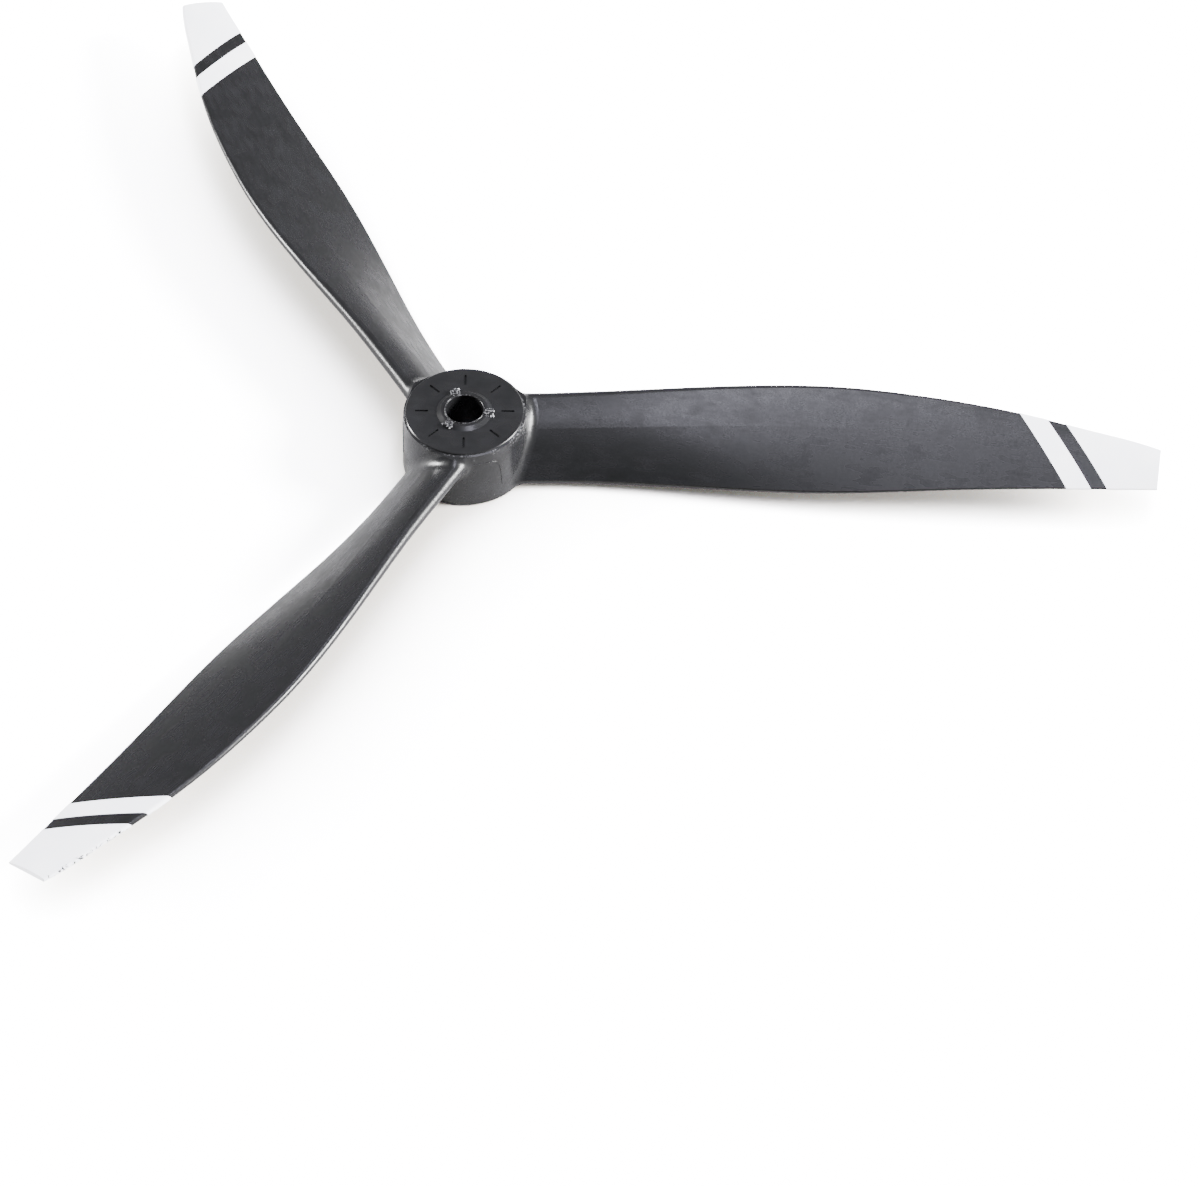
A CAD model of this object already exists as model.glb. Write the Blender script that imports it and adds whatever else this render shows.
import math
import random

import bpy
from mathutils import Matrix, Vector


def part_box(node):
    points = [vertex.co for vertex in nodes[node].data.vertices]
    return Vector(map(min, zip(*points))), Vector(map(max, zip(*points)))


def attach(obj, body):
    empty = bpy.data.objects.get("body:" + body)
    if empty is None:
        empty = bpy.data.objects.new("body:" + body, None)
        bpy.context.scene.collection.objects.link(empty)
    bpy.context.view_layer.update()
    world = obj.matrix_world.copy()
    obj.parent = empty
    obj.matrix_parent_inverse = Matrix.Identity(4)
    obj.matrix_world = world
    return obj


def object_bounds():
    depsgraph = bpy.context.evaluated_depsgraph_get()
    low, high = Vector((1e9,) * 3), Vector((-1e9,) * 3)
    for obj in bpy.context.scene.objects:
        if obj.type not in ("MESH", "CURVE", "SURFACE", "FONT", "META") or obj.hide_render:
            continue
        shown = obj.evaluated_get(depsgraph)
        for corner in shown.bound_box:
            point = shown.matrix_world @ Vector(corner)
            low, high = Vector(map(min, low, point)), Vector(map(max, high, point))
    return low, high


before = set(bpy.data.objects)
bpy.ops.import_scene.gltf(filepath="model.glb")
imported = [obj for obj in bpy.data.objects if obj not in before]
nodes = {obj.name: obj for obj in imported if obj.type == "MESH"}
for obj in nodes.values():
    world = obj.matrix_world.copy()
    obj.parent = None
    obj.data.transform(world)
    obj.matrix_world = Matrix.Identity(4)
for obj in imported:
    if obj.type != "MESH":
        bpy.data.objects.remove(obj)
cad_low, cad_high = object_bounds()
bpy.ops.object.select_all(action="DESELECT")

# Camera: a long lens at the front and 48 degrees above the table. All three blades are in its view, with
# the hub left of the middle and a good margin of table below.
camera_data = bpy.data.cameras.new("camera")
camera_data.lens = 150.57
camera_data.clip_end = 20
camera = bpy.data.objects.new("camera", camera_data)
bpy.context.scene.collection.objects.link(camera)
camera_yaw = math.radians(7.965)
camera_down = math.radians(48.43)
camera_roll = math.radians(0.353)
camera_turn = (
    Matrix.Rotation(camera_yaw, 4, "Z")
    @ Matrix.Rotation(math.pi / 2 - camera_down, 4, "X")
    @ Matrix.Rotation(camera_roll, 4, "Z")
)
camera.matrix_world = Matrix.Translation((0.1240, -0.68758, 0.74663)) @ camera_turn
bpy.context.scene.camera = camera


# Table: a sheet of matt white card that the propeller rests on. It is overexposed where it is seen
# directly, as on a white studio table, with soft warm shadows near the propeller, and lights the
# propeller as plain card does.
def new_material(name):
    material = bpy.data.materials.new(name)
    material.use_nodes = True
    return material, material.node_tree.nodes["Principled BSDF"]


def add_node(tree, kind, **values):
    node = tree.nodes.new(kind)
    for name, value in values.items():
        if hasattr(node, name):
            setattr(node, name, value)
        else:
            node.inputs[name.replace("_", " ")].default_value = value
    return node


bpy.ops.mesh.primitive_plane_add(size=8, location=(0, 0, cad_low[2]))
table = bpy.context.object
table.name = "table"
white_card, card_shader = new_material("white_card")
card_tree = white_card.node_tree
card_shader.inputs["Base Color"].default_value = (0.62, 0.615, 0.605, 1)
card_shader.inputs["Roughness"].default_value = 0.8
card_shader.inputs["Specular IOR Level"].default_value = 0.1

# The card as it is seen directly. It darkens softly, and a little warmly, close to whatever stands on it.
seen_card = add_node(card_tree, "ShaderNodeBsdfDiffuse")
near_things = add_node(card_tree, "ShaderNodeAmbientOcclusion", Distance=0.03, samples=8)
card_tone = add_node(card_tree, "ShaderNodeValToRGB")
shadow_tone, open_tone = card_tone.color_ramp.elements
shadow_tone.position = 0.45
shadow_tone.color = (0.95, 0.89, 0.81, 1)
open_tone.position = 0.98
open_tone.color = (4.3, 4.3, 4.27, 1)
card_tree.links.new(near_things.outputs["AO"], card_tone.inputs["Fac"])
card_tree.links.new(card_tone.outputs["Color"], seen_card.inputs["Color"])
seen_directly = add_node(card_tree, "ShaderNodeLightPath")
card_choice = add_node(card_tree, "ShaderNodeMixShader")
card_tree.links.new(seen_directly.outputs["Is Camera Ray"], card_choice.inputs["Fac"])
card_tree.links.new(card_shader.outputs["BSDF"], card_choice.inputs[1])
card_tree.links.new(seen_card.outputs["BSDF"], card_choice.inputs[2])
card_tree.links.new(card_choice.outputs["Shader"], card_tree.nodes["Material Output"].inputs["Surface"])
table.data.materials.append(white_card)

# Studio light: a dim pale room, a box low on each side for the edges of the blades, and a long narrow
# cool box overhead for the sheen along the first blade. They leave most of what the hub's face reflects
# dark.
room = bpy.data.worlds.new("room")
bpy.context.scene.world = room
room.use_nodes = True
room.node_tree.nodes["Background"].inputs["Color"].default_value = (0.95, 0.97, 1.0, 1)
room.node_tree.nodes["Background"].inputs["Strength"].default_value = 0.45


def soft_box(name, place, target, width, height, power, tint=(1, 1, 1)):
    light = bpy.data.lights.new(name, "AREA")
    light.shape = "RECTANGLE"
    light.size = width
    light.size_y = height
    light.energy = power
    light.color = tint
    box = bpy.data.objects.new(name, light)
    box.location = place
    box.rotation_euler = (Vector(target) - Vector(place)).to_track_quat("-Z", "Y").to_euler()
    bpy.context.scene.collection.objects.link(box)


soft_box("left_box", (-1.1, 0.16, 0.36), (0, 0, 0), 0.28, 0.4, 54)
soft_box("right_box", (1.2, 0.12, 0.42), (0.03, 0, 0), 0.4, 0.56, 135)
soft_box("top_box", (0.3, 0.01, 1.45), (0.1, 0, 0), 1.4, 0.2, 25, (0.87, 0.86, 1.0))

# Black nylon moulding: the hub and the three blades, injection moulded in one piece. Its skin is satin,
# with a fine pebbled grain, cloudy patches, and flow lines that run out along each blade from the gates
# at the bore.
BLADE_ANGLES = {f"blade_{number}": math.radians(120 * (number - 1)) for number in (1, 2, 3)}


def new_group(name, inputs, outputs):
    group = bpy.data.node_groups.new(name, "ShaderNodeTree")
    for label, kind in inputs.items():
        group.interface.new_socket(name=label, in_out="INPUT", socket_type=f"NodeSocket{kind}")
    for label, kind in outputs.items():
        group.interface.new_socket(name=label, in_out="OUTPUT", socket_type=f"NodeSocket{kind}")
    return group, group.nodes.new("NodeGroupInput"), group.nodes.new("NodeGroupOutput")


def noise(tree, vector, size, detail, roughness=0.5):
    texture = add_node(tree, "ShaderNodeTexNoise", Scale=1 / size, Detail=detail, Roughness=roughness)
    tree.links.new(vector, texture.inputs["Vector"])
    return texture.outputs["Fac"]


def remap(tree, value, low, high, start=0.0, end=1.0):
    ramp = add_node(tree, "ShaderNodeMapRange", From_Min=low, From_Max=high, To_Min=start, To_Max=end)
    tree.links.new(value, ramp.inputs["Value"])
    return ramp.outputs["Result"]


def compute(tree, operation, first, second):
    step = add_node(tree, "ShaderNodeMath", operation=operation)
    for socket, value in zip(step.inputs, (first, second)):
        if isinstance(value, (int, float)):
            socket.default_value = value
        else:
            tree.links.new(value, socket)
    return step.outputs["Value"]


# Moulded skin: Cloud is the cloudy patches, Flow the drawn-out lines, and Grain the pebbles' height.
skin_group, skin_in, skin_out = new_group(
    "moulded_skin", {"Vector": "Vector"}, {"Cloud": "Float", "Flow": "Float", "Grain": "Float"}
)
skin_vector = skin_in.outputs["Vector"]
skin_cloud = noise(skin_group, skin_vector, 0.006, 2, 0.6)
skin_group.links.new(remap(skin_group, skin_cloud, 0.36, 0.66), skin_out.inputs["Cloud"])
skin_drawn = add_node(skin_group, "ShaderNodeMapping", Scale=(0.3, 1, 1))
skin_group.links.new(skin_vector, skin_drawn.inputs["Vector"])
skin_flow = noise(skin_group, skin_drawn.outputs["Vector"], 0.0011, 1, 0.5)
skin_group.links.new(remap(skin_group, skin_flow, 0.36, 0.66), skin_out.inputs["Flow"])
skin_pebbles = noise(skin_group, skin_vector, 0.0009, 1, 0.4)
skin_group.links.new(skin_pebbles, skin_out.inputs["Grain"])


def use_group(tree, group, vector):
    placed = add_node(tree, "ShaderNodeGroup", node_tree=group)
    tree.links.new(vector, placed.inputs["Vector"])
    return placed.outputs


# Object coordinates turned so that X runs out along the blade at the given angle.
def span_vector(tree, angle):
    place = add_node(tree, "ShaderNodeTexCoord")
    turn = add_node(tree, "ShaderNodeMapping", Rotation=(0, 0, -angle))
    tree.links.new(place.outputs["Object"], turn.inputs["Vector"])
    return turn.outputs["Vector"]


def mix_colour(tree, factor, first, second):
    blend = add_node(tree, "ShaderNodeMix", data_type="RGBA")
    tree.links.new(factor, blend.inputs["Factor"])
    for socket, value in zip((blend.inputs[6], blend.inputs[7]), (first, second)):
        if isinstance(value, tuple):
            socket.default_value = (*value, 1)
        else:
            tree.links.new(value, socket)
    return blend.outputs[2]


def add_bump(tree, shader, height, distance, strength=1.0):
    bump = add_node(tree, "ShaderNodeBump", Distance=distance, Strength=strength)
    tree.links.new(height, bump.inputs["Height"])
    tree.links.new(bump.outputs["Normal"], shader.inputs["Normal"])


def black_nylon(name, angle, flow_share):
    material, shader = new_material(name)
    tree = material.node_tree
    shader.inputs["Specular IOR Level"].default_value = 0.28
    skin = use_group(tree, skin_group, span_vector(tree, angle))
    streaks = compute(tree, "MULTIPLY", skin["Flow"], flow_share)
    patches = compute(tree, "MULTIPLY", skin["Cloud"], 1 - flow_share)
    marks = compute(tree, "ADD", streaks, patches)
    colour = mix_colour(tree, marks, (0.0045, 0.0045, 0.0048), (0.0105, 0.0105, 0.0115))
    tree.links.new(colour, shader.inputs["Base Color"])
    tree.links.new(remap(tree, marks, 0.0, 1.0, 0.36, 0.21), shader.inputs["Roughness"])
    add_bump(tree, shader, skin["Grain"], 0.000018, 0.4)
    return material, shader, colour


def give(node, material):
    node.data.materials.clear()
    node.data.materials.append(material)


for name, angle in BLADE_ANGLES.items():
    blade_nylon, _, _ = black_nylon(f"black_nylon_{name}", angle, 0.5)
    give(nodes[name], blade_nylon)

# The hub's plastic is scuffed on its shoulder, outside the raised disc, where the moulding was trimmed,
# and on the tops of the gate stubs. The scuffs are pale specks, worn in patches round the shoulder.
SCUFFS_INNER = 0.0119
SCUFFS_OUTER = 0.0121
SCUFFS_LOW = 0.0118
SCUFFS_HIGH = 0.0136
COLLAR_TOP = 0.015
hub_nylon, hub_shader, hub_colour = black_nylon("black_nylon_hub", 0.0, 0.2)
hub_tree = hub_nylon.node_tree
hub_place = add_node(hub_tree, "ShaderNodeTexCoord").outputs["Object"]
hub_apart = add_node(hub_tree, "ShaderNodeSeparateXYZ")
hub_tree.links.new(hub_place, hub_apart.inputs["Vector"])
squares = [compute(hub_tree, "POWER", hub_apart.outputs[axis], 2) for axis in ("X", "Y")]
from_axis = compute(hub_tree, "SQRT", compute(hub_tree, "ADD", *squares), 0)
outer_zone = remap(hub_tree, from_axis, SCUFFS_INNER, SCUFFS_OUTER)
upper_zone = remap(hub_tree, hub_apart.outputs["Z"], SCUFFS_LOW, SCUFFS_HIGH)
stub_zone = remap(hub_tree, hub_apart.outputs["Z"], COLLAR_TOP + 0.00003, COLLAR_TOP + 0.0001)
specks = remap(hub_tree, noise(hub_tree, hub_place, 0.0004, 2, 0.6), 0.52, 0.62)
worn_parts = remap(hub_tree, noise(hub_tree, hub_place, 0.007, 1), 0.42, 0.58)
rim_zone = compute(hub_tree, "MULTIPLY", outer_zone, upper_zone)
shoulder_zone = compute(hub_tree, "MULTIPLY", rim_zone, worn_parts)
scuffed = compute(hub_tree, "ADD", shoulder_zone, stub_zone)
scuffs = compute(hub_tree, "MULTIPLY", scuffed, specks)
worn = mix_colour(hub_tree, scuffs, hub_colour, (0.13, 0.13, 0.135))
hub_tree.links.new(worn, hub_shader.inputs["Base Color"])
give(nodes["hub"], hub_nylon)

# Mould seams: the fine raised line that the mould's two halves leave on the hub's side, part of the
# moulding. Between two blades it starts at one blade's leading edge, runs level, and turns down to the
# trailing edge of the next. Its route is in degrees round the hub and millimetres up from the hub's back.
SEAM_RADIUS = 0.00012
SEAM_ROUTE = (
    (276, 11.6), (284, 11.65), (293, 11.65), (302, 11.6), (308, 11.3),
    (312, 10.5), (314, 9), (315, 6.5), (315.5, 4),
)
HUB_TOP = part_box("hub")[1][2]
HUB_BASE_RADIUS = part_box("hub")[1][0]
HUB_SHOULDER_RADIUS = 0.01235
HUB_SHOULDER_HEIGHT = 0.01397


def hub_side(height):
    return HUB_BASE_RADIUS + (HUB_SHOULDER_RADIUS - HUB_BASE_RADIUS) * height / HUB_SHOULDER_HEIGHT


def finish_piece(piece, material):
    piece.data.materials.clear()
    piece.data.materials.append(material)
    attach(piece, "root")


def apply_place():
    bpy.ops.object.transform_apply(location=True, rotation=True, scale=True)


for number in (1, 2, 3):
    line = bpy.data.curves.new(f"mould_seam_{number}", "CURVE")
    line.dimensions = "3D"
    line.bevel_depth = SEAM_RADIUS
    line.bevel_resolution = 2
    line.use_fill_caps = True
    route = line.splines.new("NURBS")
    route.points.add(len(SEAM_ROUTE) - 1)
    for point, (degrees, millimetres) in zip(route.points, SEAM_ROUTE):
        around = math.radians(degrees + 120 * number)
        height = millimetres / 1000
        side = hub_side(height)
        point.co = (side * math.cos(around), side * math.sin(around), height, 1)
    route.order_u = 3
    route.use_endpoint_u = True
    seam = bpy.data.objects.new(f"mould_seam_{number}", line)
    bpy.context.scene.collection.objects.link(seam)
    bpy.ops.object.select_all(action="DESELECT")
    bpy.context.view_layer.objects.active = seam
    seam.select_set(True)
    bpy.ops.object.convert(target="MESH")
    seam = bpy.context.object
    bpy.ops.object.shade_smooth()
    finish_piece(seam, hub_nylon)

# Torn plastic: where the three gates were broken off, the collar carries pale, glossy, ragged lumps round
# the sides of each stub. They are the moulding's own nylon, torn, and none stands higher than the stubs.
torn_nylon, torn_shader = new_material("torn_nylon")
torn_tree = torn_nylon.node_tree
torn_shader.inputs["Specular IOR Level"].default_value = 0.5
torn_skin = use_group(torn_tree, skin_group, span_vector(torn_tree, 0.0))
torn_colour = mix_colour(torn_tree, torn_skin["Cloud"], (0.05, 0.05, 0.052), (0.32, 0.32, 0.33))
torn_tree.links.new(torn_colour, torn_shader.inputs["Base Color"])
torn_tree.links.new(remap(torn_tree, torn_skin["Flow"], 0, 1, 0.1, 0.3), torn_shader.inputs["Roughness"])
add_bump(torn_tree, torn_shader, torn_skin["Grain"], 0.00004, 0.7)

STUB_INNER = 0.00425
STUB_OUTER = 0.00585
STUB_HALF = 0.0008
STUB_SIDE = 0.35
DISC_TOP = 0.0145
LUMP_COUNT = 13
LUMP_SCATTER = 0.0002


def ragged_lump(place, radius, jag, seed):
    bpy.ops.mesh.primitive_ico_sphere_add(subdivisions=2, radius=radius, location=place)
    bpy.ops.object.mode_set(mode="EDIT")
    bpy.ops.mesh.select_all(action="SELECT")
    bpy.ops.transform.vertex_random(offset=jag, uniform=0.4, normal=0.3, seed=seed)
    bpy.ops.object.mode_set(mode="OBJECT")
    apply_place()
    return bpy.context.object


def join_pieces(pieces, name):
    bpy.ops.object.select_all(action="DESELECT")
    for piece in pieces:
        piece.select_set(True)
    bpy.context.view_layer.objects.active = pieces[0]
    bpy.ops.object.join()
    pieces[0].name = name
    return pieces[0]


# Place on the outline of a stub's three free sides, by its share of the way along them.
def stub_outline(share):
    if share < STUB_SIDE:
        return Vector((STUB_INNER + (STUB_OUTER - STUB_INNER) * share / STUB_SIDE, -STUB_HALF, 0))
    if share < 1 - STUB_SIDE:
        return Vector((STUB_OUTER, STUB_HALF * (share - 0.5) / (0.5 - STUB_SIDE), 0))
    return Vector((STUB_INNER + (STUB_OUTER - STUB_INNER) * (1 - share) / STUB_SIDE, STUB_HALF, 0))


draw = random.Random(7)
for number in (1, 2, 3):
    turn = Matrix.Rotation(math.radians(120 * (number - 1)), 3, "Z")
    lumps = []
    for count in range(LUMP_COUNT):
        spot = stub_outline(count / (LUMP_COUNT - 1))
        radius = draw.uniform(0.00012, 0.00034)
        spot += Vector((draw.uniform(-1, 1), draw.uniform(-1, 1), 0)) * LUMP_SCATTER
        spot.z = draw.uniform(DISC_TOP + 0.0002, HUB_TOP - radius * 1.4)
        lumps.append(ragged_lump(turn @ spot, radius, radius * 0.3, number * 20 + count))
    tear = join_pieces(lumps, f"gate_tear_{number}")
    finish_piece(tear, torn_nylon)

# Bore lip: the thin uneven bead of flash that stands round the bore's mouth, on top of the collar. It is
# part of the same moulding, in the same black nylon.
bpy.ops.object.select_all(action="DESELECT")
bpy.ops.mesh.primitive_torus_add(
    location=(0, 0, COLLAR_TOP - 0.00003),
    major_radius=0.00396,
    minor_radius=0.00013,
    major_segments=144,
    minor_segments=10,
)
bore_lip = bpy.context.object
bore_lip.name = "bore_lip"
bpy.ops.object.mode_set(mode="EDIT")
bpy.ops.mesh.select_all(action="SELECT")
bpy.ops.transform.vertex_random(offset=0.00004, uniform=0.3, normal=0.0, seed=11)
bpy.ops.mesh.vertices_smooth(factor=0.4, repeat=1)
bpy.ops.object.mode_set(mode="OBJECT")
apply_place()
bpy.ops.object.shade_smooth()
finish_piece(bore_lip, hub_nylon)

# White paint: a coat over each blade tip and a band beside it, put on against a mask. It is satin, nearly
# smooth and brilliant white. Small chips along the leading edge show the black plastic below, most of
# them on the third blade.
TIP_EDGE_CORNER = Vector((0.1397, 0.01293, 0))
TIP_EDGE_ANGLE = math.radians(12.6)
CHIP_LEVELS = {1: 0.93, 2: 0.91, 3: 0.83}


def white_paint(name, angle, chipped):
    material, shader = new_material(name)
    tree = material.node_tree
    shader.inputs["Specular IOR Level"].default_value = 0.45
    skin = use_group(tree, skin_group, span_vector(tree, angle))
    place = add_node(tree, "ShaderNodeTexCoord")
    edge_turn = Matrix.Rotation(TIP_EDGE_ANGLE, 3, "Z")
    along_edge = add_node(
        tree,
        "ShaderNodeMapping",
        Rotation=(0, 0, TIP_EDGE_ANGLE - angle),
        Location=-(edge_turn @ TIP_EDGE_CORNER),
    )
    tree.links.new(place.outputs["Object"], along_edge.inputs["Vector"])
    apart = add_node(tree, "ShaderNodeSeparateXYZ")
    tree.links.new(along_edge.outputs["Vector"], apart.inputs["Vector"])
    nearness = remap(tree, apart.outputs["Y"], -0.0011, -0.0001, 0.0, 0.3)
    speckle = noise(tree, along_edge.outputs["Vector"], 0.0009, 4, 0.7)
    chip = remap(tree, compute(tree, "ADD", speckle, nearness), chipped, chipped + 0.03)
    sound = mix_colour(tree, skin["Cloud"], (0.84, 0.85, 0.9), (0.9, 0.905, 0.93))
    colour = mix_colour(tree, chip, sound, (0.01, 0.01, 0.012))
    tree.links.new(colour, shader.inputs["Base Color"])
    tree.links.new(colour, shader.inputs["Emission Color"])
    shader.inputs["Emission Strength"].default_value = 1.0
    tree.links.new(remap(tree, skin["Flow"], 0.0, 1.0, 0.36, 0.48), shader.inputs["Roughness"])
    relief = compute(tree, "SUBTRACT", skin["Cloud"], compute(tree, "MULTIPLY", chip, 3))
    add_bump(tree, shader, relief, 0.00003, 0.4)
    return material


for name, angle in BLADE_ANGLES.items():
    number = int(name[-1])
    paint = white_paint(f"white_paint_{number}", angle, CHIP_LEVELS[number])
    give(nodes[f"tip_coat_{number}"], paint)
    give(nodes[f"band_coat_{number}"], paint)
